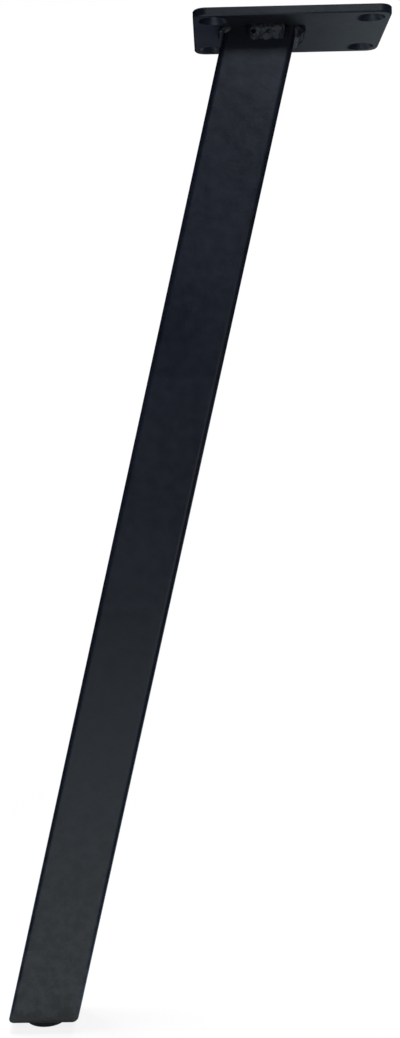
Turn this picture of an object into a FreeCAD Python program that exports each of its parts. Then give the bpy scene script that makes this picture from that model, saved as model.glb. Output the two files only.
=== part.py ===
import FreeCAD, Part
import math
import os

# Leaning square-tube table leg in millimetres.
# The origin is the middle of the plate's upper face, which bears on the table.
# +Z is up, and the tube leans towards -X on its way down to the floor.

Vector = FreeCAD.Vector

# Whole leg
leg_height = 438.0              # table face to floor
lean_angle = 13.6               # degrees away from upright
tube_setback = 12.5             # tube's middle from the plate's middle, where they meet

# Screw plate
plate_length = 82.0             # along X, the way the tube leans
plate_width = 64.0              # along Y
plate_thickness = 3.5
plate_corner_radius = 5.5
plate_edge_chamfer = 0.5
screw_margin = 8.4              # each screw hole's middle from the two nearest edges
screw_hole_diameter = 6.6
countersink_diameter = 12.0
countersink_angle = 90.0        # degrees, whole cone

# Square tube
tube_side = 30.0
tube_wall = 1.5
tube_corner_radius = 2.5

# Weld beads
front_weld_leg_on_tube = 5.8
front_weld_leg_on_plate = 3.8
front_weld_length = 18.5
front_weld_shift = 2.6          # its middle from the tube's middle, towards +X
rear_weld_length = 21.0
left_weld_leg_on_tube = 3.6
left_weld_leg_on_plate = 2.6
left_weld_length = 20.0
left_weld_shift = 5.6           # its middle from the tube's middle, towards the front
right_weld_leg_on_tube = 4.6
right_weld_leg_on_plate = 3.6
right_weld_length = 23.0
right_weld_shift = 3.0          # its middle from the tube's middle, towards the front
weld_end_length = 3.2           # rounded end of a bead
weld_ripple_pitch = 4.2
weld_ripple_height = 0.35

# End plug
flange_thickness = 3.0
flange_edge_chamfer = 2.0
shank_length = 18.0
shank_wall = 2.0
rib_reach = 1.4                 # each rib beyond the shank
rib_thickness = 1.2
rib_pitch = 5.0
rib_count = 3
rib_clearance = 0.1             # between a rib's edge and the tube's inner wall

# Floor glide
glide_diameter = 18.0
glide_height = 4.5
glide_edge_radius = 1.6
stem_diameter = 6.0
stem_clearance = 0.1            # around the stem in its hole
barb_overhang = 0.8             # barb beyond the stem, all round
barb_height = 3.5
barb_tip_diameter = 4.0
barb_play = 0.1                 # between the barb and the flange it holds

# Turned outlines
round_facets = 3                # straight steps that make up a quarter round

# Levels that follow from the sizes above
plate_underside = -plate_thickness
floor_level = -leg_height
flange_underside = floor_level + glide_height
foot_level = flange_underside + flange_thickness

tube_bore = tube_side - 2 * tube_wall
bore_corner_radius = tube_corner_radius - tube_wall
rib_side = tube_bore - 2 * rib_clearance
rib_corner_radius = bore_corner_radius
shank_side = rib_side - 2 * rib_reach
shank_bore = shank_side - 2 * shank_wall

lean = math.radians(lean_angle)
mitre_half = tube_side / 2 / math.cos(lean)


def axis_x(level):
    """Where the tube's axis is along X at a level."""
    return -tube_setback + (level - plate_underside) * math.tan(lean)


def rounded_rectangle(length, width, radius):
    """Flat face in the XY plane, centred on the origin; a radius of 0 leaves its corners sharp."""
    x = length / 2
    y = width / 2
    if radius == 0:
        return Part.makePlane(length, width, Vector(-x, -y, 0))
    skew = radius * (1 - math.sqrt(0.5))
    corners = [(x, y), (-x, y), (-x, -y), (x, -y)]
    edges = []
    ends = []
    for index, (cx, cy) in enumerate(corners):
        sx = math.copysign(1, cx)
        sy = math.copysign(1, cy)
        on_side = Vector(cx, cy - sy * radius, 0)
        on_end = Vector(cx - sx * radius, cy, 0)
        middle = Vector(cx - sx * skew, cy - sy * skew, 0)
        first, last = (on_side, on_end) if index % 2 == 0 else (on_end, on_side)
        edges.append(Part.Arc(first, middle, last).toShape())
        ends.append((first, last))
    for index in range(4):
        start = ends[index][1]
        finish = ends[(index + 1) % 4][0]
        edges.append(Part.makeLine(start, finish))
    return Part.Face(Part.Wire(Part.__sortEdges__(edges)))


def quarter_round(middle, first, last):
    """Points from middle + first to middle + last around a quarter of an ellipse."""
    points = []
    for step in range(round_facets + 1):
        angle = math.pi / 2 * step / round_facets
        points.append(middle + first * math.cos(angle) + last * math.sin(angle))
    return points


def leaning_bar(side, corner_radius, top, bottom):
    """Rounded square bar along the tube's axis, cut level at both ends."""
    run = (top - bottom) / math.cos(lean)
    spare = side
    bar = rounded_rectangle(side, side, corner_radius).extrude(Vector(0, 0, run + 2 * spare))
    bar.translate(Vector(0, 0, -spare))
    bar.rotate(Vector(0, 0, 0), Vector(0, 1, 0), lean_angle)
    bar.translate(Vector(axis_x(bottom), 0, bottom))
    reach = run + 4 * spare
    slab = Part.makeBox(2 * reach, 2 * reach, top - bottom)
    slab.translate(Vector(axis_x(bottom) - reach, -reach, bottom))
    return bar.common(slab)


def edges_at(shape, level):
    """Edges of a shape that lie wholly in one level plane."""
    found = []
    for edge in shape.Edges:
        box = edge.BoundBox
        if abs(box.ZMin - level) < 1e-5 and abs(box.ZMax - level) < 1e-5:
            found.append(edge)
    return found


def one_solid(shape):
    """The body that a cut or a fuse left, with its split faces joined."""
    return max(shape.removeSplitter().Solids, key=lambda solid: solid.Volume)


def make_plate():
    plate = rounded_rectangle(plate_length, plate_width, plate_corner_radius).extrude(
        Vector(0, 0, -plate_thickness))
    rims = edges_at(plate, 0) + edges_at(plate, plate_underside)
    plate = plate.makeChamfer(plate_edge_chamfer, rims)
    sink_depth = (countersink_diameter - screw_hole_diameter) / 2 / math.tan(
        math.radians(countersink_angle / 2))
    for sx in (-1, 1):
        for sy in (-1, 1):
            middle = Vector(
                sx * (plate_length / 2 - screw_margin),
                sy * (plate_width / 2 - screw_margin),
                plate_underside)
            hole = Part.makeCylinder(screw_hole_diameter / 2, plate_thickness, middle)
            sink = Part.makeCone(countersink_diameter / 2, screw_hole_diameter / 2, sink_depth, middle)
            plate = plate.cut(hole.fuse(sink))
    return one_solid(plate)


def make_tube():
    outside = leaning_bar(tube_side, tube_corner_radius, plate_underside, foot_level)
    inside = leaning_bar(tube_bore, bore_corner_radius, plate_underside, foot_level)
    return one_solid(outside.cut(inside))


def make_bead(middle, along, inward, length, leg_on_tube, leg_on_plate):
    """Rippled bead turned about a line just inside the tube, before tube and plate trim it."""
    span = leg_on_tube ** 2 / leg_on_plate
    radius = (span + leg_on_plate) / 2
    sunk = (span - leg_on_plate) / 2
    straight = length - 2 * weld_end_length
    ripples = max(1, round(straight / weld_ripple_pitch))
    pitch = straight / ripples
    valley = radius - weld_ripple_height
    first = -straight / 2
    outline = quarter_round(Vector(first, 0, 0), Vector(-weld_end_length, 0, 0), Vector(0, valley, 0))
    for index in range(ripples):
        outline.append(Vector(first + (index + 0.5) * pitch, radius, 0))
        outline.append(Vector(first + (index + 1) * pitch, valley, 0))
    far_end = quarter_round(Vector(-first, 0, 0), Vector(0, valley, 0), Vector(weld_end_length, 0, 0))
    outline.extend(far_end[1:])
    outline.append(outline[0])
    bead = Part.Face(Part.makePolygon(outline)).revolve(Vector(0, 0, 0), Vector(1, 0, 0), 360)
    bead.rotate(Vector(0, 0, 0), Vector(0, 0, 1), along)
    bead.translate(middle + inward * sunk)
    return bead


def make_welds():
    """Beads around the tube's top, trimmed by the tube, the plate and the beads already laid."""
    reach = 2 * (plate_length + plate_width)
    above = Part.makeBox(reach, reach, reach, Vector(-reach / 2, -reach / 2, plate_underside))
    foot = plate_underside - tube_side
    core = leaning_bar(tube_side, tube_corner_radius, plate_underside, foot)
    x = axis_x(plate_underside)
    half = tube_side / 2
    face_legs = (front_weld_leg_on_tube, front_weld_leg_on_plate)
    left_legs = (left_weld_leg_on_tube, left_weld_leg_on_plate)
    right_legs = (right_weld_leg_on_tube, right_weld_leg_on_plate)
    front = Vector(x + front_weld_shift, -half, plate_underside)
    rear = Vector(x, half, plate_underside)
    left = Vector(x - mitre_half, -left_weld_shift, plate_underside)
    right = Vector(x + mitre_half, -right_weld_shift, plate_underside)
    beads = {
        "front_weld": make_bead(front, 0, Vector(0, 1, 0), front_weld_length, *face_legs),
        "rear_weld": make_bead(rear, 0, Vector(0, -1, 0), rear_weld_length, *face_legs),
        "left_weld": make_bead(left, 90, Vector(1, 0, 0), left_weld_length, *left_legs),
        "right_weld": make_bead(right, 90, Vector(-1, 0, 0), right_weld_length, *right_legs),
    }
    laid = {}
    for name, bead in beads.items():
        bead = bead.cut(above).cut(core)
        for earlier in laid.values():
            bead = bead.cut(earlier)
        laid[name] = one_solid(bead)
    return laid


def make_plug():
    flange = leaning_bar(tube_side, tube_corner_radius, foot_level, flange_underside)
    flange = flange.makeChamfer(flange_edge_chamfer, edges_at(flange, flange_underside))
    shank_top = foot_level + shank_length
    plug = flange.fuse(leaning_bar(shank_side, 0, shank_top, foot_level))
    for index in range(rib_count):
        under = foot_level + rib_pitch * (index + 1) - rib_thickness
        plug = plug.fuse(leaning_bar(rib_side, rib_corner_radius, under + rib_thickness, under))
    plug = plug.cut(leaning_bar(shank_bore, 0, shank_top, foot_level))
    stem_hole = Part.makeCylinder(
        stem_diameter / 2 + stem_clearance,
        flange_thickness,
        Vector(axis_x(flange_underside), 0, flange_underside))
    return one_solid(plug.cut(stem_hole))


def make_glide():
    """Turned pad with a barbed stem that holds it in the plug's flange."""
    rim = glide_diameter / 2
    stem = stem_diameter / 2
    barb = stem + barb_overhang
    tip = barb_tip_diameter / 2
    edge = glide_edge_radius
    barb_seat = glide_height + flange_thickness + barb_play
    outline = [Vector(0, 0, 0)]
    outline += quarter_round(Vector(rim - edge, 0, edge), Vector(0, 0, -edge), Vector(edge, 0, 0))
    outline += [
        Vector(rim, 0, glide_height),
        Vector(stem, 0, glide_height),
        Vector(stem, 0, barb_seat),
        Vector(barb, 0, barb_seat),
        Vector(tip, 0, barb_seat + barb_height),
        Vector(0, 0, barb_seat + barb_height),
        Vector(0, 0, 0),
    ]
    glide = Part.Face(Part.makePolygon(outline)).revolve(Vector(0, 0, 0), Vector(0, 0, 1), 360)
    glide.translate(Vector(axis_x(flange_underside), 0, floor_level))
    return glide


pieces = {
    "mounting_plate": make_plate(),
    "leg_tube": make_tube(),
    "end_plug": make_plug(),
    "floor_glide": make_glide(),
}
pieces.update(make_welds())

os.makedirs("parts", exist_ok=True)
for name, shape in pieces.items():
    shape.exportStep("parts/" + name + ".step")
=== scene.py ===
# %% [markdown]
# # A leaning square-tube table leg
# The real leg is a steel tube, 30 mm square, that leans away from a flat screw plate. Four short weld
# beads hold the tube to the plate, a moulded plug closes its foot, and a round glide under the plug meets
# the floor.
# The whole leg could be modelled here from nothing, but its solids were already drawn at their true size.
# So this lesson loads them as a fixed frame, gives each one its finish, and lays finer pieces where a
# drawn solid is too plain for a close look.

import bmesh
import bpy
import math
from mathutils import Matrix, Vector


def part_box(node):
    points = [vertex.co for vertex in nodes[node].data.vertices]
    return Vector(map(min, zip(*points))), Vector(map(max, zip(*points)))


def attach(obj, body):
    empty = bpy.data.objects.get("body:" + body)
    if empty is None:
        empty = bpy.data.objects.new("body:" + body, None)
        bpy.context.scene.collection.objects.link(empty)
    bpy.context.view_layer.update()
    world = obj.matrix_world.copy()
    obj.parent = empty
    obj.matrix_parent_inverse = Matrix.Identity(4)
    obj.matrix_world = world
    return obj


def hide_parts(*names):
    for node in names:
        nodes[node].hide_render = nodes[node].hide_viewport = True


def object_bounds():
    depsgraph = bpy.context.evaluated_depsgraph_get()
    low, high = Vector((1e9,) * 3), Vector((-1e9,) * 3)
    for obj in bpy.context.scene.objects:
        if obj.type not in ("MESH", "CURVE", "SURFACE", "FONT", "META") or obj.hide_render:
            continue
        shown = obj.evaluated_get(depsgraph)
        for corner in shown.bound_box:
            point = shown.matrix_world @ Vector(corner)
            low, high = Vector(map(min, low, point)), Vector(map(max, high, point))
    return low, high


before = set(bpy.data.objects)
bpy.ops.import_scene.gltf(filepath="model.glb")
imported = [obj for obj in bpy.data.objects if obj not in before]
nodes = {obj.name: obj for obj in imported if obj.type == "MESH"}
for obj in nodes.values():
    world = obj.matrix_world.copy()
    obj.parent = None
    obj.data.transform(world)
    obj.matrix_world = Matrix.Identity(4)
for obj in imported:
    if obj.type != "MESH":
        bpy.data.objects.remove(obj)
cad_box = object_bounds()
leg_size = [round(1000 * (high - low), 1) for low, high in zip(*cad_box)]
print("loaded", sorted(nodes))
print("the leg is", leg_size, "mm along x, y and z")

# %% [markdown]
# ## Sizes that the lesson needs again
# Blender works in metres here, so each length is written in millimetres and multiplied by MM.
# The lean, the tube's side and its corner repeat the drawn solids, because the finer pieces lie where the
# solids do. The plate and the floor could be written down as well, but measuring them in the frame keeps
# the lesson right if the drawing changes.

# %% Sizes
MM = 0.001
lean = math.radians(13.6)               # of the tube, away from upright
tube_side = 30.0 * MM
tube_corner = 2.5 * MM
tube_setback = 12.5 * MM                # tube's middle from the plate's middle, where they meet
half_side = tube_side / 2
half_flat = half_side - tube_corner     # a face's middle to where its corner starts to turn
plate_low, plate_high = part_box("mounting_plate")
underside = plate_low.z
floor_level = cad_box[0].z
print("plate underside at", round(underside / MM, 2), "mm, floor at", round(floor_level / MM, 2), "mm")

# %% [markdown]
# ## Small helpers for node trees
# Materials and Geometry Nodes are both trees of nodes joined by links.
# A tree can be put together by hand in the node editor, but a script shows every value it used and builds
# the same tree each time. Each helper below adds one node, or a short chain of them, and gives back its
# result, so that a long tree reads almost like plain arithmetic.

# %% Add a node and feed its sockets
def feed(tree, socket, value):
    """Joins a socket to another one, or writes a plain value into it."""
    if isinstance(value, bpy.types.NodeSocket):
        tree.links.new(value, socket)
    else:
        socket.default_value = value


def add(tree, kind, sockets=None, **settings):
    """Adds a node, changes its settings and feeds the named sockets."""
    made = tree.nodes.new(kind)
    for name, value in settings.items():
        setattr(made, name, value)
    for name, value in (sockets or {}).items():
        feed(tree, made.inputs[name], value)
    return made


print("nodes can be added and fed")

# %% Arithmetic
def sums(tree, operation, *values):
    """Adds one Math node and gives back its result."""
    made = add(tree, "ShaderNodeMath", operation=operation)
    for socket, value in zip(made.inputs, values):
        feed(tree, socket, value)
    return made.outputs[0]


def chain(tree, operation, values):
    """Runs one sum through several values, from left to right."""
    result = values[0]
    for value in values[1:]:
        result = sums(tree, operation, result, value)
    return result


def product(tree, *values):
    return chain(tree, "MULTIPLY", values)


def total(tree, *values):
    return chain(tree, "ADD", values)


def largest(tree, *values):
    return chain(tree, "MAXIMUM", values)


def arrows(tree, operation, *values, result="Vector"):
    """Adds one Vector Math node and gives back its result."""
    made = add(tree, "ShaderNodeVectorMath", operation=operation)
    spots = [socket for socket in made.inputs if socket.enabled]
    for socket, value in zip(spots, values):
        feed(tree, socket, value)
    return made.outputs[result]


def parts_of(tree, place):
    """The x, y and z of a place."""
    return add(tree, "ShaderNodeSeparateXYZ", {"Vector": place}).outputs


print("numbers and arrows can be reckoned with")

# %% Blends
def blend_range(tree, value, low, high, from_low=0.0, from_high=1.0, smooth=False):
    """Spreads a value from one range over another, and stops at both ends."""
    limits = {"From Min": from_low, "From Max": from_high, "To Min": low, "To Max": high}
    made = add(tree, "ShaderNodeMapRange", {"Value": value, **limits})
    if smooth:
        made.interpolation_type = "SMOOTHSTEP"
    return made.outputs[0]


def blend_colour(tree, share, first, second):
    """Mixes two colours by a share that changes over the surface."""
    made = add(tree, "ShaderNodeMix", data_type="RGBA")
    feed(tree, made.inputs[0], share)
    feed(tree, made.inputs[6], (*first, 1.0) if isinstance(first, tuple) else first)
    feed(tree, made.inputs[7], (*second, 1.0) if isinstance(second, tuple) else second)
    return made.outputs[2]


def part_of_each(tree, first, share, second):
    """A share of one value, and the rest of another."""
    return total(tree, product(tree, first, share), product(tree, second, 1.0 - share))


print("values and colours can be blended")

# %% [markdown]
# ## Powder coat
# The steel is sprayed with black powder that melts in an oven into one satin skin.
# Close up, the skin is never flat: it has a slow orange peel, a fine grain, and clouds where it lies
# thicker. These could be painted as pictures, but noise that reads the Object coordinates needs no
# unwrapping, keeps its true size on every piece and runs on round each corner.
# The plastic pieces need a grain too, so it is a shader group with named inputs, made once and placed in
# each material with sizes of its own.

# %% Noise of a known size
noise_roughness = 0.55                  # how much of the noise is in its finer layers


def shader_group(name, given, gives):
    """Starts a shader node group with named inputs and outputs."""
    tree = bpy.data.node_groups.new(name, "ShaderNodeTree")
    for label, kind, value in given:
        socket = tree.interface.new_socket(label, in_out="INPUT", socket_type=kind)
        socket.default_value = value
    for label, kind in gives:
        tree.interface.new_socket(label, in_out="OUTPUT", socket_type=kind)
    return tree, tree.nodes.new("NodeGroupInput").outputs, tree.nodes.new("NodeGroupOutput").inputs


def noise_at(tree, place, size, detail, shift=0.0):
    """Noise whose lumps are about one size across; a shift keeps two noises from lining up."""
    moved = arrows(tree, "ADD", place, (shift, shift, shift))
    scale = sums(tree, "DIVIDE", 1.0, size)
    sockets = {"Vector": moved, "Scale": scale, "Detail": detail, "Roughness": noise_roughness}
    return add(tree, "ShaderNodeTexNoise", sockets).outputs[0]


print("noise can be made to size")

# %% The coat's grain, as a shader group
cloud_share = 0.5                       # of the broad clouds, the rest being a smaller mottle
peel_share = 0.75                       # of the orange peel, the rest being fine grain


def make_coat_grain():
    tree, given, gives = shader_group(
        "coat_grain",
        [("Place", "NodeSocketVector", (0.0, 0.0, 0.0)),
         ("Peel size", "NodeSocketFloat", 1.6 * MM),
         ("Grain size", "NodeSocketFloat", 0.30 * MM),
         ("Cloud size", "NodeSocketFloat", 45.0 * MM),
         ("Mottle size", "NodeSocketFloat", 5.0 * MM)],
        [("Height", "NodeSocketFloat"), ("Grain", "NodeSocketFloat"), ("Cloud", "NodeSocketFloat")])
    peel = noise_at(tree, given["Place"], given["Peel size"], detail=1.0)
    grain = noise_at(tree, given["Place"], given["Grain size"], detail=2.0, shift=0.37)
    cloud = noise_at(tree, given["Place"], given["Cloud size"], detail=3.0, shift=0.71)
    mottle = noise_at(tree, given["Place"], given["Mottle size"], detail=2.0, shift=0.53)
    skin = part_of_each(tree, peel, peel_share, grain)
    feed(tree, gives["Height"], total(tree, skin, mottle))
    feed(tree, gives["Grain"], grain)
    feed(tree, gives["Cloud"], part_of_each(tree, cloud, cloud_share, mottle))
    return tree


coat_grain = make_coat_grain()
print("made the group", coat_grain.name, "with", len(coat_grain.nodes), "nodes")

# %% [markdown]
# ## Smudges
# Hands, shoes and mops leave soft dull patches on a leg, most of them near the floor.
# They could be drawn one by one, but two noises of different sizes, cut off softly, give patches that
# never repeat. The cover says how much of the surface they take. The coat and the plastic share this
# group as well.

# %% Smudges, as a shader group
patch_share = 0.7                       # of the patches, the rest being fine streaks
streak_size = 0.3                       # of a patch
bare_start = 0.72                       # where the noise turns into a patch if nothing is covered
cover_reach = 0.4                       # how far full cover lowers that start
patch_softness = 0.25


def make_smudges():
    tree, given, gives = shader_group(
        "smudges",
        [("Place", "NodeSocketVector", (0.0, 0.0, 0.0)),
         ("Patch size", "NodeSocketFloat", 14.0 * MM),
         ("Cover", "NodeSocketFloat", 0.5)],
        [("Mask", "NodeSocketFloat")])
    fine = product(tree, given["Patch size"], streak_size)
    patches = noise_at(tree, given["Place"], given["Patch size"], detail=3.0, shift=1.13)
    streaks = noise_at(tree, given["Place"], fine, detail=2.0, shift=2.41)
    mixed = part_of_each(tree, patches, patch_share, streaks)
    start = sums(tree, "SUBTRACT", bare_start, product(tree, given["Cover"], cover_reach))
    end = total(tree, start, patch_softness)
    feed(tree, gives["Mask"], blend_range(tree, mixed, 0.0, 1.0, start, end, smooth=True))
    return tree


smudges = make_smudges()
print("made the group", smudges.name, "with", len(smudges.nodes), "nodes")

# %% [markdown]
# ## The black finish on the steel
# On the real leg the coat is almost black with a little blue, and it is not the same all over: it drifts
# between two shades with the clouds and is smudged towards the floor. Along the plate's edge a painted shade
# darkens it.
# One flat colour would be quicker but looks like plastic. Here each change is a small step of its own that
# takes a colour and gives back a new one, so a step can be left out to see what it does.

# %% A material to build on
def new_finish(name):
    """An empty material with its shader, and the Object coordinates that all its patterns read."""
    made = bpy.data.materials.new(name)
    made.use_nodes = True
    tree = made.node_tree
    place = tree.nodes.new("ShaderNodeTexCoord").outputs["Object"]
    return made, tree, tree.nodes["Principled BSDF"], place


def use_group(tree, group, sockets):
    """Places a shader group in a material with values of its own."""
    return add(tree, "ShaderNodeGroup", sockets, node_tree=group).outputs


def add_bump(tree, shader, height, depth):
    """Lets a height tilt the surface a little wherever light meets it."""
    bump = add(tree, "ShaderNodeBump", {"Height": height, "Strength": 1.0, "Distance": depth})
    feed(tree, shader.inputs["Normal"], bump.outputs["Normal"])


print("materials can be started")

# %% Smudged towards the floor
smudge_patch = 4.5 * MM
smudge_cover = 0.86
smudge_reach = 170 * MM                 # up from the floor
smudge_falloff = 1.8
smudge_share = 0.80                     # of the coat's own colour that is lost at the floor
smudge_dark = (0.001, 0.002, 0.004)
smudge_pale = (0.025, 0.030, 0.036)


def smudge_coat(tree, place, height, colour):
    """Gives back the smudged colour, and how strong the marks are."""
    sizes = {"Place": place, "Patch size": smudge_patch, "Cover": smudge_cover}
    marks = use_group(tree, smudges, sizes)
    at_foot = blend_range(tree, height, 1.0, 0.0, floor_level, floor_level + smudge_reach)
    at_foot = sums(tree, "POWER", at_foot, smudge_falloff)
    handled = blend_colour(tree, marks["Mask"], smudge_dark, smudge_pale)
    colour = blend_colour(tree, product(tree, at_foot, smudge_share), colour, handled)
    return colour, product(tree, marks["Mask"], at_foot)


print("smudges reach", round(smudge_reach / MM), "mm up from the floor")

# %% Painted shade along the plate's edge
edge_start = 0.6 * MM                   # in from the plate's outline
edge_full = 0.2 * MM
# painted shade: how far towards black the plate's outer edge is darkened
edge_shade_strength = 0.5
plate_only = underside - 1.0 * MM       # nothing below this level is darkened
black = (0.0, 0.0, 0.0)


def paint_edge_shade(tree, x, y, height, colour):
    """Paints shade along the plate's outer edge by darkening the coat towards black there."""
    past_end = sums(tree, "SUBTRACT", sums(tree, "ABSOLUTE", x), plate_high.x)
    past_side = sums(tree, "SUBTRACT", sums(tree, "ABSOLUTE", y), plate_high.y)
    outermost = largest(tree, past_end, past_side)
    edge_shade = blend_range(tree, outermost, 0.0, edge_shade_strength, -edge_start, -edge_full)
    edge_shade = product(tree, edge_shade, sums(tree, "GREATER_THAN", height, plate_only))
    return blend_colour(tree, edge_shade, colour, black)


print("the plate's edge is darkened over", round(edge_start / MM, 1), "mm")

# %% The coat itself
coat_clouds = (0.35, 0.65)              # the part of the cloud noise that is spread over the two shades
coat_rough_drift = 0.04
mark_roughness = 0.10                   # that a smudge adds
coat_gloss = 0.45


def make_powder_coat(name, thin, thick, rough, peel_size, depth):
    """Satin black powder coat that drifts between a thin and a thick shade."""
    made, tree, shader, place = new_finish(name)
    coat = use_group(tree, coat_grain, {"Place": place, "Peel size": peel_size})
    x, y, height = parts_of(tree, place)
    colour = blend_colour(tree, blend_range(tree, coat["Cloud"], 0.0, 1.0, *coat_clouds), thin, thick)
    colour, mark = smudge_coat(tree, place, height, colour)
    # the base colour carries the painted shade along the plate's edge
    feed(tree, shader.inputs["Base Color"], paint_edge_shade(tree, x, y, height, colour))
    smoothest, roughest = rough - coat_rough_drift, rough + coat_rough_drift
    roughness = blend_range(tree, coat["Cloud"], smoothest, roughest, *coat_clouds)
    roughness = total(tree, roughness, product(tree, mark, mark_roughness))
    feed(tree, shader.inputs["Roughness"], roughness)
    shader.inputs["Specular IOR Level"].default_value = coat_gloss
    add_bump(tree, shader, coat["Height"], depth)
    return made


powder_coat = make_powder_coat(
    "satin_powder_coat", thin=(0.0064, 0.0082, 0.0148), thick=(0.0112, 0.0138, 0.0226),
    rough=0.33, peel_size=1.6 * MM, depth=0.03 * MM)
weld_coat = make_powder_coat(
    "coated_weld", thin=(0.0085, 0.0104, 0.0160), thick=(0.0115, 0.0136, 0.0200),
    rough=0.40, peel_size=0.9 * MM, depth=0.05 * MM)
for name in ("mounting_plate", "leg_tube"):
    nodes[name].material_slots[0].material = powder_coat
print("coated the plate and the tube with", powder_coat.name)

# %% [markdown]
# ## Weld beads
# A weld bead is a row of frozen puddles: each one overlaps the last, so the bead is ribbed like a pile of
# coins. It could be sculpted by hand, but every bead on the leg follows the same rule along its own line,
# so one Geometry Nodes tree makes all four.
# A sphere is stretched along the joint, turned into a rippled spindle, roughened by noise, and pressed
# back into the corner between tube and plate. The next cells each make one part of that tree.

# %% What the tree is told about a bead
WELD_INPUTS = [
    ("Middle", "NodeSocketVector"),         # of the joint, where tube and plate meet
    ("Along", "NodeSocketVector"),          # the way the joint runs
    ("Off tube", "NodeSocketVector"),       # away from the tube, level
    ("Face", "NodeSocketVector"),           # straight out of the tube's face
    ("Length", "NodeSocketFloat"),
    ("End length", "NodeSocketFloat"),      # of each rounded end
    ("Radius", "NodeSocketFloat"),
    ("Sunk", "NodeSocketFloat"),            # the bead's own axis behind the joint
    ("Ripple pitch", "NodeSocketFloat"),
    ("Ripple height", "NodeSocketFloat"),
    ("Lump height", "NodeSocketFloat"),
    ("Dish depth", "NodeSocketFloat"),
    ("Pit place", "NodeSocketFloat"),       # along the joint, from the bead's middle
    ("Pit depth", "NodeSocketFloat"),
    ("Dimple place", "NodeSocketFloat"),
    ("Dimple depth", "NodeSocketFloat"),
    ("Bite", "NodeSocketFloat"),            # how far the bead reaches into the tube
    ("Off middle", "NodeSocketFloat"),      # the bead's middle from the tube's middle
    ("Flat half", "NodeSocketFloat"),
    ("Corner", "NodeSocketFloat"),
    ("Seed", "NodeSocketFloat"),
    ("Finish", "NodeSocketMaterial"),
]
print("a bead has", len(WELD_INPUTS), "inputs")

# %% Where each point of the sphere goes
near_crowding = 0.7                     # below 1, more meridians crowd into the half that shows


def bead_places(tree, given):
    """Each point's own spot, its swing round the bead, half the bead's length, and its place along it."""
    spot = add(tree, "GeometryNodeInputPosition").outputs[0]
    round_x, round_y, length_share = parts_of(tree, spot)
    turn = sums(tree, "ARCTAN2", round_y, round_x)
    size = sums(tree, "ABSOLUTE", turn)
    near = product(tree, sums(tree, "MINIMUM", size, math.pi / 2), near_crowding)
    far = largest(tree, sums(tree, "SUBTRACT", size, math.pi / 2), 0.0)
    far = product(tree, far, 2.0 - near_crowding)
    swing = product(tree, sums(tree, "SIGN", turn), total(tree, near, far))
    half = product(tree, given["Length"], 0.5)
    return spot, swing, half, product(tree, length_share, half)


def bead_fullness(tree, given, half, along):
    """1 along the bead, falling to 0 in a quarter round at both ends."""
    straight = sums(tree, "SUBTRACT", half, given["End length"])
    past = sums(tree, "SUBTRACT", sums(tree, "ABSOLUTE", along), straight)
    past = sums(tree, "DIVIDE", largest(tree, past, 0.0), given["End length"])
    past = sums(tree, "MINIMUM", past, 1.0)
    return sums(tree, "SQRT", sums(tree, "SUBTRACT", 1.0, product(tree, past, past)))


print("points can be placed along a bead")

# %% Lumps and crumbs
lump_scale = 1.5
crumb_scale = 5.0


def bead_noise(tree, given, spot, half):
    """Two noises that move with the seed and are as coarse along the joint as round it."""
    seeded = arrows(tree, "ADD", spot, add(tree, "ShaderNodeCombineXYZ", {"X": given["Seed"]}).outputs[0])
    longer = sums(tree, "DIVIDE", half, given["Radius"])
    stretch = add(tree, "ShaderNodeCombineXYZ", {"X": 1.0, "Y": 1.0, "Z": longer}).outputs[0]
    stretched = arrows(tree, "MULTIPLY", seeded, stretch)
    coarse = {"Vector": stretched, "Scale": lump_scale, "Detail": 1.0}
    fine = {"Vector": stretched, "Scale": crumb_scale, "Detail": 2.0}
    lumps = add(tree, "ShaderNodeTexNoise", coarse).outputs[0]
    crumbs = add(tree, "ShaderNodeTexNoise", fine).outputs[0]
    return lumps, crumbs


print("beads can be roughened")

# %% Puddles
puddle_bow = 0.45                       # how far a puddle's edge trails off to the sides, in pitches
puddle_drift = 0.9                      # how far the lumps pull the edges about, in pitches
puddle_dome = 0.75                      # below 1, flatter domes with narrower grooves
fine_ripples = 9                        # in the width of one puddle
fine_share = 0.05                       # of the ripple height
noise_middle = 0.5                      # what noise gives on average
lump_share = 2.0                        # of the lump height
crumb_share = 0.8
dish_end = (0.05, 0.50)                 # swing over which the sunken middle ends


def puddled_reach(tree, given, swing, along, lumps, crumbs):
    """How far the bead reaches out from its axis."""
    bow = product(tree, swing, swing, product(tree, given["Ripple pitch"], puddle_bow))
    flow = sums(tree, "DIVIDE", total(tree, along, bow), given["Ripple pitch"])
    flow = total(tree, flow, product(tree, lumps, puddle_drift))
    dome = sums(tree, "ABSOLUTE", sums(tree, "SINE", product(tree, flow, math.pi)))
    dome = sums(tree, "SUBTRACT", sums(tree, "POWER", dome, puddle_dome), 1.0)
    reach = total(tree, given["Radius"], product(tree, dome, given["Ripple height"]))
    fine = sums(tree, "SINE", product(tree, flow, fine_ripples * math.pi))
    reach = total(tree, reach, product(tree, fine, product(tree, given["Ripple height"], fine_share)))
    swell = sums(tree, "SUBTRACT", lumps, noise_middle)
    swell = product(tree, swell, product(tree, given["Lump height"], lump_share))
    grit = sums(tree, "SUBTRACT", crumbs, noise_middle)
    grit = product(tree, grit, product(tree, given["Lump height"], crumb_share))
    reach = total(tree, reach, total(tree, swell, grit))

    # the metal sank in the middle as it cooled, and froze higher along both rims
    off_middle = sums(tree, "ABSOLUTE", swing)
    sunken = blend_range(tree, off_middle, 1.0, 0.0, *dish_end, smooth=True)
    return sums(tree, "SUBTRACT", reach, product(tree, sunken, given["Dish depth"]))


print("puddles have", fine_ripples, "fine ripples each")

# %% A pit and a dimple
pit_swing = -0.30                       # a little above the middle of the bead
pit_half = 1.3 * MM
dimple_swing = -0.25
dimple_half = 1.5 * MM
hollow_floor = 0.2 * MM                 # half the width of a hollow's flat bottom


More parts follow.
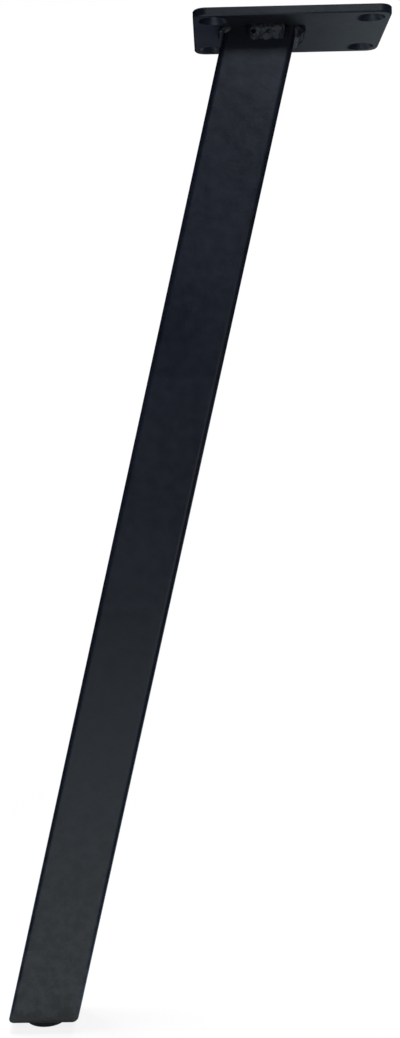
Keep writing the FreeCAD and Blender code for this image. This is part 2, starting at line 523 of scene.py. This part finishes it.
def hollow(tree, given, label, swing, along, middle_swing, half_width):
    """A round hollow, such as the pit where the arc was broken off or a dimple that gas left."""
    off = sums(tree, "SUBTRACT", along, given[label + " place"])
    up = product(tree, sums(tree, "SUBTRACT", swing, middle_swing), given["Radius"])
    away = sums(tree, "SQRT", total(tree, product(tree, off, off), product(tree, up, up)))
    return blend_range(tree, away, given[label + " depth"], 0.0, hollow_floor, half_width, smooth=True)


print("hollows are up to", round(2 * dimple_half / MM, 1), "mm across")

# %% Pressed into the corner
UP = (0.0, 0.0, 1.0)
pressed_share = 0.97                    # of the depth that a bead loses inside the tube and the plate
plate_bite = 0.5 * MM


def press_into_corner(tree, given, along, shift):
    """Presses a bead almost flat a little way inside the tube and the plate."""
    # at the tube's round corners the face falls back
    past_flat = sums(tree, "ABSOLUTE", total(tree, along, given["Off middle"]))
    past_flat = largest(tree, sums(tree, "SUBTRACT", past_flat, given["Flat half"]), 0.0)
    corner_square = sums(tree, "POWER", given["Corner"], 2.0)
    left_over = sums(tree, "SUBTRACT", corner_square, sums(tree, "POWER", past_flat, 2.0))
    left_over = sums(tree, "SQRT", largest(tree, left_over, 0.0))
    bite = total(tree, given["Bite"], sums(tree, "SUBTRACT", given["Corner"], left_over))

    inside = arrows(tree, "DOT_PRODUCT", shift, given["Face"], result="Value")
    too_deep = sums(tree, "SUBTRACT", product(tree, bite, -1.0), inside)
    lift = product(tree, largest(tree, too_deep, 0.0), pressed_share)
    shift = arrows(tree, "ADD", shift, arrows(tree, "SCALE", given["Face"], lift))

    too_high = sums(tree, "SUBTRACT", parts_of(tree, shift)["Z"], plate_bite)
    drop = product(tree, largest(tree, too_high, 0.0), pressed_share)
    return arrows(tree, "SUBTRACT", shift, arrows(tree, "SCALE", UP, drop))


print("beads keep", round(1 - pressed_share, 2), "of their depth inside the steel")

# %% The whole tree
bead_meridians = 112
bead_rings = 190


def make_weld_tree():
    tree = bpy.data.node_groups.new("weld_bead", "GeometryNodeTree")
    for label, kind in WELD_INPUTS:
        tree.interface.new_socket(label, in_out="INPUT", socket_type=kind)
    tree.interface.new_socket("Bead", in_out="OUTPUT", socket_type="NodeSocketGeometry")
    given = tree.nodes.new("NodeGroupInput").outputs
    sphere = add(tree, "GeometryNodeMeshUVSphere",
                 {"Segments": bead_meridians, "Rings": bead_rings, "Radius": 1.0})
    spot, swing, half, along = bead_places(tree, given)
    lumps, crumbs = bead_noise(tree, given, spot, half)
    reach = puddled_reach(tree, given, swing, along, lumps, crumbs)
    pit = hollow(tree, given, "Pit", swing, along, pit_swing, pit_half)
    dimple = hollow(tree, given, "Dimple", swing, along, dimple_swing, dimple_half)
    reach = sums(tree, "SUBTRACT", sums(tree, "SUBTRACT", reach, pit), dimple)
    reach = product(tree, reach, bead_fullness(tree, given, half, along))

    # from the bead's own measures to the leg's frame; a swing of 0 points half way between tube and plate
    angle = total(tree, swing, math.pi / 4)
    out = sums(tree, "SUBTRACT", product(tree, reach, sums(tree, "COSINE", angle)), given["Sunk"])
    down = product(tree, reach, sums(tree, "SINE", angle))
    run = arrows(tree, "SCALE", given["Along"], along)
    shift = arrows(tree, "ADD", run, arrows(tree, "SCALE", given["Off tube"], out))
    shift = arrows(tree, "SUBTRACT", shift, arrows(tree, "SCALE", UP, down))
    shift = press_into_corner(tree, given, along, shift)
    laid = add(tree, "GeometryNodeSetPosition",
               {"Geometry": sphere.outputs["Mesh"], "Position": arrows(tree, "ADD", shift, given["Middle"])})
    smooth = add(tree, "GeometryNodeSetShadeSmooth", {"Geometry": laid.outputs[0]})
    real = add(tree, "GeometryNodeRealizeInstances", {"Geometry": smooth.outputs[0]})
    dressed = add(tree, "GeometryNodeSetMaterial",
                  {"Geometry": real.outputs[0], "Material": given["Finish"]})
    feed(tree, tree.nodes.new("NodeGroupOutput").inputs[0], dressed.outputs[0])
    return tree


weld_bead = make_weld_tree()
print("the bead's tree has", len(weld_bead.nodes), "nodes")

# %% [markdown]
# ## Laying the beads
# The welder ran one bead along each side of the tube, and no two are alike: they differ in length, in
# thickness, in how far they lie from the middle, and in where the pit and the dimple fell.
# A modifier could stay live on each bead, but a finished piece has to be a plain mesh. So the modifier
# gets its values, the result is turned into the piece's own mesh, and the modifier goes.

# %% A bead from the tree
bead_end = 3.6 * MM
ripple_pitch = 4.2 * MM
ripple_height = 0.25 * MM
lump_height = 0.44 * MM
dish_depth = 0.50 * MM
tube_bite = 1.0 * MM


def plain_mesh(piece):
    """Turns what the modifiers give into the piece's own mesh, and drops the modifiers."""
    graph = bpy.context.evaluated_depsgraph_get()
    seen = piece.evaluated_get(graph)
    mesh = bpy.data.meshes.new_from_object(seen, preserve_all_data_layers=True, depsgraph=graph)
    piece.modifiers.clear()
    piece.data = mesh
    return piece


def box_in_mm(low, high):
    return [round(value / MM, 1) for value in (*low, *high)]


def lay_bead(name, node, middle, off_middle, along, off_tube, face, length, on_tube, on_plate, seed,
             pit, dimple):
    """Lays one bead; its legs on the tube and on the plate give its radius."""
    span = on_tube ** 2 / on_plate
    values = {
        "Middle": middle, "Along": along, "Off tube": off_tube, "Face": face,
        "Length": length, "End length": bead_end,
        "Radius": (span + on_plate) / 2, "Sunk": (span - on_plate) / 2,
        "Ripple pitch": ripple_pitch, "Ripple height": ripple_height,
        "Lump height": lump_height, "Dish depth": dish_depth,
        "Pit place": pit[0], "Pit depth": pit[1], "Dimple place": dimple[0], "Dimple depth": dimple[1],
        "Bite": tube_bite, "Off middle": off_middle, "Flat half": half_flat, "Corner": tube_corner,
        "Seed": seed, "Finish": weld_coat,
    }
    bead = bpy.data.objects.new(name, bpy.data.meshes.new(name))
    bpy.context.scene.collection.objects.link(bead)
    modifier = bead.modifiers.new("weld_bead", "NODES")
    modifier.node_group = weld_bead
    for item in weld_bead.interface.items_tree:
        if item.in_out == "INPUT":
            modifier[item.identifier] = values[item.name]
    plain_mesh(bead)
    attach(bead, "root")
    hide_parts(node)
    by_axis = list(zip(*(point.co for point in bead.data.vertices)))
    print(name, len(bead.data.polygons), "faces, box", box_in_mm(map(min, by_axis), map(max, by_axis)),
          "for", box_in_mm(*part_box(node)))
    return bead


print("beads have ripples of", round(ripple_pitch / MM, 1), "mm")

# %% Front and rear beads
front_shift = 2.6 * MM                  # the front bead's middle from the tube's middle, along x

lay_bead("front_weld_bead", "front_weld",
         middle=(-tube_setback + front_shift, -half_side, underside), off_middle=front_shift,
         along=(1, 0, 0), off_tube=(0, -1, 0), face=(0, -1, 0),
         length=18.5 * MM, on_tube=5.8 * MM, on_plate=3.8 * MM, seed=2.0,
         pit=(-5.9 * MM, 1.7 * MM), dimple=(0.8 * MM, 0.7 * MM))
lay_bead("rear_weld_bead", "rear_weld",
         middle=(-tube_setback, half_side, underside), off_middle=0.0,
         along=(-1, 0, 0), off_tube=(0, 1, 0), face=(0, 1, 0),
         length=21.0 * MM, on_tube=5.8 * MM, on_plate=3.8 * MM, seed=5.0,
         pit=(6.8 * MM, 1.2 * MM), dimple=(-2.0 * MM, 0.5 * MM))

# %% Left and right beads
left_shift = 5.6 * MM                   # a side bead's middle from the tube's middle, towards the front
right_shift = 3.0 * MM
half_cut = half_side / math.cos(lean)   # the leaning tube is wider where it is cut level
left_face = (-math.cos(lean), 0.0, math.sin(lean))
right_face = (math.cos(lean), 0.0, -math.sin(lean))

lay_bead("left_weld_bead", "left_weld",
         middle=(-tube_setback - half_cut, -left_shift, underside), off_middle=left_shift,
         along=(0, -1, 0), off_tube=(-1, 0, 0), face=left_face,
         length=20.0 * MM, on_tube=3.6 * MM, on_plate=2.6 * MM, seed=8.0,
         pit=(-6.5 * MM, 0.5 * MM), dimple=(1.0 * MM, 0.3 * MM))
lay_bead("right_weld_bead", "right_weld",
         middle=(-tube_setback + half_cut, -right_shift, underside), off_middle=-right_shift,
         along=(0, 1, 0), off_tube=(1, 0, 0), face=right_face,
         length=23.0 * MM, on_tube=4.6 * MM, on_plate=3.6 * MM, seed=11.0,
         pit=(7.5 * MM, 0.8 * MM), dimple=(-2.0 * MM, 0.4 * MM))

# %% [markdown]
# ## Moulded plastic
# The plug and the glide are moulded from black plastic, which is duller and greyer than the coat and
# carries a fine spark-eroded grain from its mould. It could have a noise of its own, but the coat's grain
# group already has what it needs, so the plastic uses that with other sizes: its clouds for the colour, and
# only its finest layer for the gloss and the bump.

# %% Matt moulded plastic
plastic_clouds = (0.3, 0.7)
plastic_cloud_size = 9.0 * MM
peel_per_grain = 4
scuff_size = 5.0 * MM
scuff_share = 0.4
scuff_grey = (0.040, 0.040, 0.040)
grain_smoother = 0.05
grain_rougher = 0.08
grain_depth = 0.02 * MM


def make_moulded_plastic(name, dark, pale, rough, grain_size, scuffs):
    made, tree, shader, place = new_finish(name)
    sizes = {"Peel size": grain_size * peel_per_grain, "Grain size": grain_size}
    skin = use_group(tree, coat_grain, {"Place": place, "Cloud size": plastic_cloud_size, **sizes})
    marks = use_group(tree, smudges, {"Place": place, "Patch size": scuff_size, "Cover": scuffs})
    colour = blend_colour(tree, blend_range(tree, skin["Cloud"], 0.0, 1.0, *plastic_clouds), dark, pale)
    colour = blend_colour(tree, product(tree, marks["Mask"], scuff_share), colour, scuff_grey)
    feed(tree, shader.inputs["Base Color"], colour)
    smoothest, roughest = rough - grain_smoother, rough + grain_rougher
    roughness = blend_range(tree, skin["Grain"], smoothest, roughest, *plastic_clouds)
    feed(tree, shader.inputs["Roughness"], roughness)
    add_bump(tree, shader, skin["Grain"], grain_depth)
    return made


plug_plastic = make_moulded_plastic(
    "moulded_plug", dark=(0.011, 0.012, 0.014), pale=(0.015, 0.016, 0.018),
    rough=0.46, grain_size=0.25 * MM, scuffs=0.45)
glide_plastic = make_moulded_plastic(
    "moulded_glide", dark=(0.013, 0.014, 0.015), pale=(0.019, 0.020, 0.021),
    rough=0.55, grain_size=0.35 * MM, scuffs=0.7)
print("made", plug_plastic.name, "and", glide_plastic.name)

# %% [markdown]
# ## Plug and glide
# The plug is pushed into the tube, and its rim is rounded so that it doesn't catch. The glide is a turned
# pad under it. Both were drawn with plain bevels to stay light, so each gets a finer copy.
# The glide's edges are rounded by a Bevel modifier. On the plug that would only soften the two edges of
# the drawn bevel, so this bevel is cut at several levels instead, and each cut is pushed out to a quarter
# round.

# %% A finer copy of a drawn solid
join_distance = 0.001 * MM
flat_angle = math.radians(0.5)          # faces that meet flatter than this become one
bevel_segments = 3
bevel_angle = math.radians(25)
sharp_angle = math.radians(35)


def joined_copy(node):
    """A copy of a drawn solid with its loose triangles joined into whole faces."""
    made = bmesh.new()
    made.from_mesh(nodes[node].data)
    bmesh.ops.remove_doubles(made, verts=made.verts, dist=join_distance)
    bmesh.ops.dissolve_limit(made, angle_limit=flat_angle, verts=made.verts, edges=made.edges)
    return made


def bevel_edges(piece, width):
    bevel = piece.modifiers.new("edges", "BEVEL")
    bevel.width = width
    bevel.segments = bevel_segments
    bevel.limit_method = "ANGLE"
    bevel.angle_limit = bevel_angle
    bevel.harden_normals = True
    plain_mesh(piece)


def moulded_piece(name, node, shape, finish, bevel_width=0.0):
    """Turns a shape into a finished piece that stands for a drawn solid."""
    mesh = bpy.data.meshes.new(name)
    shape.to_mesh(mesh)
    shape.free()
    mesh.materials.clear()
    mesh.materials.append(finish)
    piece = bpy.data.objects.new(name, mesh)
    bpy.context.scene.collection.objects.link(piece)
    if bevel_width:
        bevel_edges(piece, bevel_width)
    for face in piece.data.polygons:
        face.use_smooth = True
    if not bevel_width:
        piece.data.set_sharp_from_angle(angle=sharp_angle)
    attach(piece, "root")
    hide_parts(node)
    print(name, len(piece.data.polygons), "faces")
    return piece


print("edges sharper than", round(math.degrees(bevel_angle)), "degrees can be rounded")

# %% The plug's rounded rim
rim_radius = 2.0 * MM                   # as deep as the drawn bevel
rim_steps = 7
cut_distance = 0.0001 * MM
plug_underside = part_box("end_plug")[0].z


def axis_x(level):
    """Where the tube's axis is along X at a level."""
    return -tube_setback + (level - underside) * math.tan(lean)


def within_flat(value):
    return min(max(value, -half_flat), half_flat)


def round_the_rim(shape):
    """Cuts the drawn bevel at several levels and pushes each cut out to a quarter round."""
    for step in range(1, rim_steps):
        level = plug_underside + rim_radius * (1 - math.cos(math.pi / 2 * step / rim_steps))
        everything = [*shape.verts, *shape.edges, *shape.faces]
        bmesh.ops.bisect_plane(shape, geom=everything, dist=cut_distance, plane_co=(0.0, 0.0, level),
                               plane_no=UP)
    moved = 0
    for corner in shape.verts:
        up = corner.co.z - plug_underside
        if up > rim_radius:
            continue
        across = (corner.co.x - axis_x(corner.co.z)) * math.cos(lean)
        nearest = Vector((within_flat(across), within_flat(corner.co.y)))
        out = Vector((across, corner.co.y)) - nearest
        if out.length < 0.1 * MM:           # on the flat underside
            continue
        inset = rim_radius - math.sqrt(rim_radius ** 2 - (rim_radius - up) ** 2)
        spot = nearest + out.normalized() * (tube_corner - inset)
        corner.co.x = max(axis_x(corner.co.z) + spot.x / math.cos(lean), cad_box[0].x)
        corner.co.y = spot.y
        moved += 1
    print("rounded the rim with", moved, "points")
    return shape


moulded_piece("foot_plug", "end_plug", round_the_rim(joined_copy("end_plug")), plug_plastic)

# %% The glide's soft edges
glide_bevel = 0.35 * MM

moulded_piece("foot_glide", "floor_glide", joined_copy("floor_glide"), glide_plastic,
              glide_bevel)

# %% [markdown]
# ## What the black paint mirrors
# Satin black has hardly any light of its own: what the eye sees on the tube is mostly a blurred mirror
# image of the room. In the studio that is a white sweep on the floor, a few cards, and a dark cloth.
# Each could be a real sheet, but sheets would also show in the picture and cast light. So they are drawn
# on the floor as soft patches, in metres, that only a glossy surface can see. The floor itself still looks
# plain white, with the leg's shadow on it.

# %% Which rays see the patches
FOOT_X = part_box("floor_glide")[0].x / 2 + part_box("floor_glide")[1].x / 2


def seen_in_gloss(tree):
    """1 for rays that a glossy or clear surface sends on, else 0; and 1 for the camera's own rays, else 0."""
    light_path = tree.nodes.new("ShaderNodeLightPath").outputs
    mirrored = largest(tree, light_path["Is Glossy Ray"], light_path["Is Transmission Ray"])
    return mirrored, light_path["Is Camera Ray"]


print("the foot stands at x =", round(FOOT_X / MM, 1), "mm")

# %% The white sweep, before and behind the foot
sweep_edge = (0.35, 1.1)                # slant over which it ends at the sides
sweep_dark = 0.03
sweep_length = 1.32
sweep_falloff = 1.7
sweep_rear = (0.4, 1.0)                 # y over which it ends behind the leg


def white_sweep(tree, slant, off_foot, y):
    side = blend_range(tree, slant, 1.0, sweep_dark, *sweep_edge)
    fade = sums(tree, "POWER", sums(tree, "DIVIDE", off_foot, sweep_length), sweep_falloff)
    fade = sums(tree, "EXPONENT", product(tree, fade, -1.0))
    return product(tree, side, fade, blend_range(tree, y, 1.0, sweep_dark, *sweep_rear))


print("the sweep fades over", sweep_length, "m")

# %% Two cards and a cloth
card_level = 0.49
card_left = (0.13, 0.40)                # each pair says where a soft edge starts and ends
card_right = (0.8, 1.3)
card_near = (0.6, 1.1)
wing_level = 0.95
wing_inner = (0.32, 0.46)               # slants
wing_outer = (0.80, 1.0)
wing_left = (0.05, 0.15)
wing_near = (-0.60, -0.40)
wing_far = (-5.0, -1.6)
cloth_level = 0.05
cloth_near = (0.9, 1.3)
cloth_far = (2.4, 3.2)
cloth_side = (0.12, 0.30)


def rear_card(tree, x, y):
    """Grey, behind the leg on the right; the plate's underside mirrors it."""
    left = blend_range(tree, x, 0.0, card_level, *card_left)
    right = blend_range(tree, x, 1.0, 0.0, *card_right)
    return product(tree, left, right, blend_range(tree, y, 0.0, 1.0, *card_near))


def wing_card(tree, slant, x, y):
    """White, far out in front on the right; the tube's rounded right corner mirrors it as a thin line."""
    inner = blend_range(tree, slant, 0.0, wing_level, *wing_inner)
    outer = blend_range(tree, slant, 1.0, 0.0, *wing_outer)
    left = blend_range(tree, x, 0.0, 1.0, *wing_left)
    near = blend_range(tree, y, 1.0, 0.0, *wing_near)
    return product(tree, inner, outer, left, near, blend_range(tree, y, 0.0, 1.0, *wing_far))


def blue_cloth(tree, off_line, y):
    """Dark, straight behind the leg."""
    near = blend_range(tree, y, 0.0, cloth_level, *cloth_near)
    far = blend_range(tree, y, 1.0, 0.0, *cloth_far)
    return product(tree, near, far, blend_range(tree, off_line, 1.0, 0.0, *cloth_side))


print("the cards are at", card_level, "and", wing_level, "of white, the cloth at", cloth_level)

# %% All patches together
slant_start = 0.05                      # added to the way from the foot, so that no slant is endless
foot_shade = 0.15                       # the leg's own shade round its foot
foot_shade_reach = (0.016, 0.040)
middle_tint = (0.91, 1.0, 0.97)         # of the sweep, which turns blue towards its sides
side_tint = (0.74, 1.08, 1.70)
side_slant = (0.40, 0.70)
card_tint = (0.90, 1.07, 1.12)
wing_tint = (1.05, 1.0, 0.82)
dim_tint = (0.40, 0.62, 1.35)           # where hardly any light is left
dim_end = (0.02, 0.15)
cloth_tint = (0.35, 0.50, 1.45)


def floor_in_gloss(tree, place, from_foot, mirrored):
    """How bright the floor is for a glossy surface, and in which tint."""
    x, y, _ = parts_of(tree, place)
    off_line = sums(tree, "ABSOLUTE", sums(tree, "SUBTRACT", x, FOOT_X))
    off_foot = sums(tree, "ABSOLUTE", y)
    slant = sums(tree, "DIVIDE", off_line, total(tree, off_foot, slant_start))
    sweep = white_sweep(tree, slant, off_foot, y)
    card = rear_card(tree, x, y)
    wing = wing_card(tree, slant, x, y)
    cloth = blue_cloth(tree, off_line, y)
    flat = largest(tree, sweep, card)
    white = largest(tree, flat, wing)
    shade = blend_range(tree, from_foot, foot_shade, 1.0, *foot_shade_reach)
    level = product(tree, largest(tree, white, cloth), shade, mirrored)

    tint = blend_colour(tree, blend_range(tree, slant, 0.0, 1.0, *side_slant), middle_tint, side_tint)
    tint = blend_colour(tree, sums(tree, "GREATER_THAN", card, sweep), tint, card_tint)
    tint = blend_colour(tree, sums(tree, "GREATER_THAN", wing, flat), tint, wing_tint)
    tint = blend_colour(tree, blend_range(tree, level, 0.0, 1.0, *dim_end), dim_tint, tint)
    tint = blend_colour(tree, sums(tree, "GREATER_THAN", cloth, white), tint, cloth_tint)
    return level, tint


print("the leg shades its floor for", round(foot_shade_reach[1] / MM), "mm round the foot")

# %% The floor
floor_reach = 9.0
floor_grey = (0.86, 0.86, 0.86, 1.0)
floor_white_share = 0.86                # at the foot, where the rest of it shows the shadow
floor_white_reach = (0.05, 0.45)
white_light = (1.0, 1.0, 1.0)


def make_floor():
    """A pale floor that the camera sees as white, apart from the leg's own shadow round the foot."""
    mesh = bpy.data.meshes.new("studio_floor")
    signs = [(-1, -1), (1, -1), (1, 1), (-1, 1)]
    corners = [(sx * floor_reach, sy * floor_reach, floor_level) for sx, sy in signs]
    mesh.from_pydata(corners, [], [(0, 1, 2, 3)])
    floor = bpy.data.objects.new("studio_floor", mesh)
    bpy.context.scene.collection.objects.link(floor)
    made, tree, shader, place = new_finish("pale_floor")
    shader.inputs["Base Color"].default_value = floor_grey
    shader.inputs["Roughness"].default_value = 0.9
    shader.inputs["Specular IOR Level"].default_value = 0.0
    mirrored, camera_ray = seen_in_gloss(tree)
    from_foot = arrows(tree, "DISTANCE", place, (FOOT_X, 0.0, floor_level), result="Value")
    level, tint = floor_in_gloss(tree, place, from_foot, mirrored)
    glow = add(tree, "ShaderNodeEmission", {"Strength": largest(tree, camera_ray, level)})
    feed(tree, glow.inputs["Color"], blend_colour(tree, camera_ray, tint, white_light))
    whiten = blend_range(tree, from_foot, floor_white_share, 1.0, *floor_white_reach)
    mixed = add(tree, "ShaderNodeMixShader")
    feed(tree, mixed.inputs[0], largest(tree, product(tree, camera_ray, whiten), mirrored))
    feed(tree, mixed.inputs[1], shader.outputs[0])
    feed(tree, mixed.inputs[2], glow.outputs[0])
    feed(tree, tree.nodes["Material Output"].inputs["Surface"], mixed.outputs[0])
    mesh.materials.append(made)
    return floor


studio_floor = make_floor()
print(studio_floor.name, "is", 2 * floor_reach, "m wide, at", round(floor_level / MM, 1), "mm")

# %% [markdown]
# ## The room
# Behind the floor the camera sees plain white. The paint sees a dim blue room that is lightest overhead,
# and a paler wall in front of the leg. The room could be a picture of a real studio, but a few soft ramps
# over the direction say the same without a file.

# %% World
room_level = (0.008, 0.20)              # low down and overhead
room_height = (0.08, 0.8)
room_left_share = 0.15                  # of that level on the left
room_left = (-0.6, -0.15)
room_tint = (0.70, 0.90, 1.30)
wall_level = 0.10
wall_height = (0.03, 0.30)
wall_depth = (-0.9, -0.5)
wall_left = (-0.40, -0.10)
wall_tint = (0.72, 0.84, 1.0)


def make_world():
    world = bpy.data.worlds.new("studio")
    bpy.context.scene.world = world
    world.use_nodes = True
    tree = world.node_tree
    mirrored, camera_ray = seen_in_gloss(tree)
    direction = tree.nodes.new("ShaderNodeTexCoord").outputs["Generated"]
    across, away, height = parts_of(tree, direction)
    room = blend_range(tree, height, *room_level, *room_height)
    room = product(tree, room, blend_range(tree, across, room_left_share, 1.0, *room_left))
    wall = blend_range(tree, height, 0.0, wall_level, *wall_height)
    wall = product(tree, wall, blend_range(tree, away, 1.0, 0.0, *wall_depth))
    wall = product(tree, wall, blend_range(tree, across, 0.0, 1.0, *wall_left))
    lit = blend_colour(tree, room, black, room_tint)
    lit = blend_colour(tree, product(tree, mirrored, wall), lit, wall_tint)
    background = tree.nodes["Background"]
    feed(tree, background.inputs["Color"], blend_colour(tree, camera_ray, lit, white_light))
    background.inputs["Strength"].default_value = 1.0
    return world


print("made the world", make_world().name)

# %% [markdown]
# ## Lamps
# One soft box in front lights the face that the picture shows. One overhead and two behind keep the other
# sides readable and put a soft shadow under the leg. Bare lamps would be simpler, but on satin black a
# small lamp leaves a hard white spot, so all are broad, and those above and behind are hidden from gloss.

# %% Soft boxes
def soft_box(name, place, aim, width, height, watts, spread, colour):
    lamp = bpy.data.lights.new(name, "AREA")
    lamp.shape = "RECTANGLE"
    lamp.size = width
    lamp.size_y = height
    lamp.energy = watts
    lamp.spread = math.radians(spread)
    lamp.color = colour
    made = bpy.data.objects.new(name, lamp)
    bpy.context.scene.collection.objects.link(made)
    facing = (Vector(aim) - Vector(place)).to_track_quat("-Z", "Y")
    made.matrix_world = Matrix.Translation(place) @ facing.to_matrix().to_4x4()
    print(name, "gives", watts, "W")
    return made


leg_middle_x = FOOT_X / 2
soft_box("front_soft_box", place=(0.40, -1.72, 1.16), aim=(-0.05, -0.05, 0.04),
         width=0.6, height=0.45, watts=0.90, spread=34, colour=(0.82, 0.89, 1.0))
high_lamp = soft_box("high_soft_box", place=(-0.10, 0.02, 1.30), aim=(-0.10, 0.0, floor_level),
                     width=0.5, height=0.5, watts=1.6, spread=40, colour=(1.0, 0.98, 0.93))
high_lamp.visible_glossy = False
for side in (-1, 1):
    rear_lamp = soft_box("rear_soft_box", place=(leg_middle_x + 0.7 * side, 1.3, 1.45),
                         aim=(leg_middle_x, 0.0, -0.2),
                         width=0.6, height=0.6, watts=1.2, spread=40, colour=(1.0, 0.96, 0.84))
    rear_lamp.visible_glossy = False

# %% [markdown]
# ## Camera
# The leg is seen from close in front, from a little above the middle of its height, with a slight turn
# and roll. Such a view could be set by eye. Here its place and angles were worked out from straight edges
# of the plate and the tube, which is steadier, and its focal length came out in pixels of the picture.

# %% Camera
picture_height = 1038
focal_pixels = 1439.77
camera_place = Vector((-33.93, -633.34, -165.73)) * MM
turn = math.radians(-0.770)
tilt = math.radians(-4.159)
roll = math.radians(-1.149)

lens = bpy.data.cameras.new("camera")
lens.sensor_width = 36.0
lens.lens = focal_pixels * lens.sensor_width / picture_height
lens.clip_start = 0.01
camera = bpy.data.objects.new("camera", lens)
bpy.context.scene.collection.objects.link(camera)
turned = Matrix.Rotation(-turn, 4, "Z") @ Matrix.Rotation(math.pi / 2 + tilt, 4, "X")
camera.matrix_world = Matrix.Translation(camera_place) @ turned @ Matrix.Rotation(roll, 4, "Z")
bpy.context.scene.camera = camera
bpy.context.scene.view_settings.view_transform = "Standard"
print("lens", round(lens.lens, 2), "mm, camera", round(-camera_place.y / MM), "mm in front of the leg")

# %% [markdown]
# ## The drawn size
# A finished leg has to be as large as the drawn one, so the drawn box is printed.

# %% The drawn size
print("the drawn box is", box_in_mm(*cad_box), "mm")
